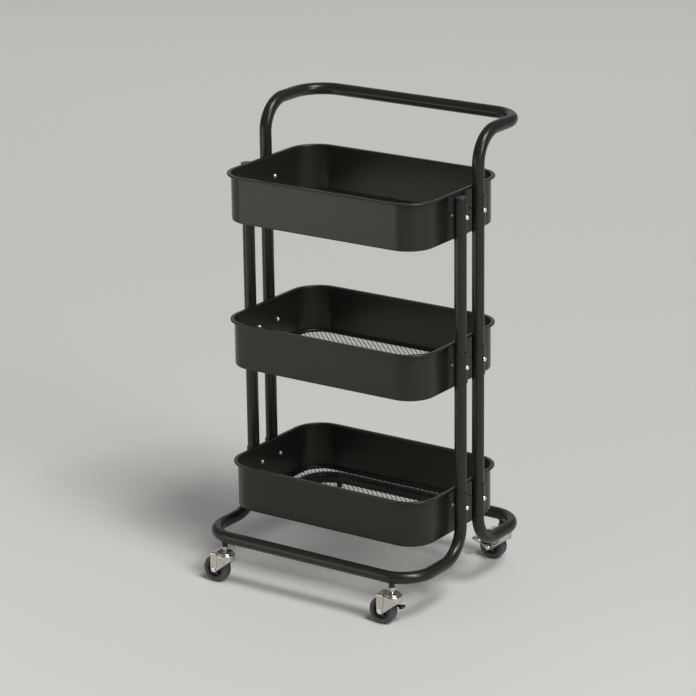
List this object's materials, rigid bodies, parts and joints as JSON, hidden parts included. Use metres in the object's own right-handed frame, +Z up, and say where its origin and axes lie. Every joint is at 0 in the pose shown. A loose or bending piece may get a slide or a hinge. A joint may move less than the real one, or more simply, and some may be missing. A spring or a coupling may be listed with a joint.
{
  "type": "rolling utility cart",
  "caption": "Rolling utility cart with open-topped rectangular metal baskets on a bent-tube frame, a raised push handle at one end and swivel casters, some with a brake lever.",
  "frame": {"origin": "middle of the cart's footprint, on the floor under the wheels", "axes": "+Z up, X along the baskets' long sides, +Y towards the push handle, -Y the front"},
  "size_m": [0.4848, 0.4032, 0.8576],
  "materials": {
    "black_steel": "satin black powder coat",
    "bright_steel": "bright zinc plate",
    "tyre": "grey moulded tread",
    "dark_plastic": "matt black moulding"
  },
  "bodies": {
    "cart": {"front_frame": "black_steel", "rear_frame": "black_steel", "handle": "black_steel", "post_cap_left": "dark_plastic", "post_cap_right": "dark_plastic", "top_basket": "black_steel", "middle_basket": "black_steel", "bottom_basket": "black_steel", "top_floor": "black_steel", "middle_floor": "black_steel", "bottom_floor": "black_steel", "saddle_top_front_left": "black_steel", "saddle_top_front_right": "black_steel", "saddle_top_rear_left": "black_steel", "saddle_top_rear_right": "black_steel", "saddle_middle_front_left": "black_steel", "saddle_middle_front_right": "black_steel", "saddle_middle_rear_left": "black_steel", "saddle_middle_rear_right": "black_steel", "saddle_bottom_front_left": "black_steel", "saddle_bottom_front_right": "black_steel", "saddle_bottom_rear_left": "black_steel", "saddle_bottom_rear_right": "black_steel", "bolt_top_front_left": "bright_steel", "bolt_top_front_right": "bright_steel", "bolt_top_rear_left": "bright_steel", "bolt_top_rear_right": "bright_steel", "bolt_middle_front_left": "bright_steel", "bolt_middle_front_right": "bright_steel", "bolt_middle_rear_left": "bright_steel", "bolt_middle_rear_right": "bright_steel", "bolt_bottom_front_left": "bright_steel", "bolt_bottom_front_right": "bright_steel", "bolt_bottom_rear_left": "bright_steel", "bolt_bottom_rear_right": "bright_steel", "caster_stem_front_left": "bright_steel", "caster_stem_front_right": "bright_steel", "caster_stem_rear_left": "bright_steel", "caster_stem_rear_right": "bright_steel"},
    "swivel_front_left": {"caster_fork_front_left": "bright_steel", "axle_front_left": "bright_steel"},
    "swivel_front_right": {"caster_fork_front_right": "bright_steel", "axle_front_right": "bright_steel"},
    "swivel_rear_left": {"caster_fork_rear_left": "bright_steel", "axle_rear_left": "bright_steel"},
    "swivel_rear_right": {"caster_fork_rear_right": "bright_steel", "axle_rear_right": "bright_steel"},
    "wheel_front_left": {"tyre_front_left": "tyre", "wheel_hub_front_left": "dark_plastic"},
    "wheel_front_right": {"tyre_front_right": "tyre", "wheel_hub_front_right": "dark_plastic"},
    "wheel_rear_left": {"tyre_rear_left": "tyre", "wheel_hub_rear_left": "dark_plastic"},
    "wheel_rear_right": {"tyre_rear_right": "tyre", "wheel_hub_rear_right": "dark_plastic"},
    "brake_front_right": {"brake_lever_front_right": "dark_plastic"},
    "brake_rear_right": {"brake_lever_rear_right": "bright_steel"}
  },
  "joints": [
    {"name": "swivel_front_left_turn", "type": "hinge", "parent": "cart", "child": "swivel_front_left", "pos_m": [-0.1816, -0.1832, 0.056], "axis": [0, 0, 1], "continuous": true},
    {"name": "swivel_front_right_turn", "type": "hinge", "parent": "cart", "child": "swivel_front_right", "pos_m": [0.1816, -0.1832, 0.056], "axis": [0, 0, 1], "continuous": true},
    {"name": "swivel_rear_left_turn", "type": "hinge", "parent": "cart", "child": "swivel_rear_left", "pos_m": [-0.1816, 0.1832, 0.056], "axis": [0, 0, 1], "continuous": true},
    {"name": "swivel_rear_right_turn", "type": "hinge", "parent": "cart", "child": "swivel_rear_right", "pos_m": [0.1816, 0.1832, 0.056], "axis": [0, 0, 1], "continuous": true},
    {"name": "wheel_front_left_roll", "type": "hinge", "parent": "swivel_front_left", "child": "wheel_front_left", "pos_m": [-0.1998, -0.1832, 0.0245], "axis": [0, 1, 0], "continuous": true},
    {"name": "wheel_front_right_roll", "type": "hinge", "parent": "swivel_front_right", "child": "wheel_front_right", "pos_m": [0.1634, -0.1832, 0.0245], "axis": [0, 1, 0], "continuous": true},
    {"name": "wheel_rear_left_roll", "type": "hinge", "parent": "swivel_rear_left", "child": "wheel_rear_left", "pos_m": [-0.1998, 0.1832, 0.0245], "axis": [0, 1, 0], "continuous": true},
    {"name": "wheel_rear_right_roll", "type": "hinge", "parent": "swivel_rear_right", "child": "wheel_rear_right", "pos_m": [0.1634, 0.1832, 0.0245], "axis": [0, 1, 0], "continuous": true},
    {"name": "brake_front_right_press", "type": "hinge", "parent": "swivel_front_right", "child": "brake_front_right", "pos_m": [0.1634, -0.1664, 0.0245], "axis": [0, 1, 0], "range_deg": [0, 16]},
    {"name": "brake_rear_right_press", "type": "hinge", "parent": "swivel_rear_right", "child": "brake_rear_right", "pos_m": [0.1634, 0.1664, 0.0245], "axis": [0, -1, 0], "range_deg": [0, 16]}
  ]
}
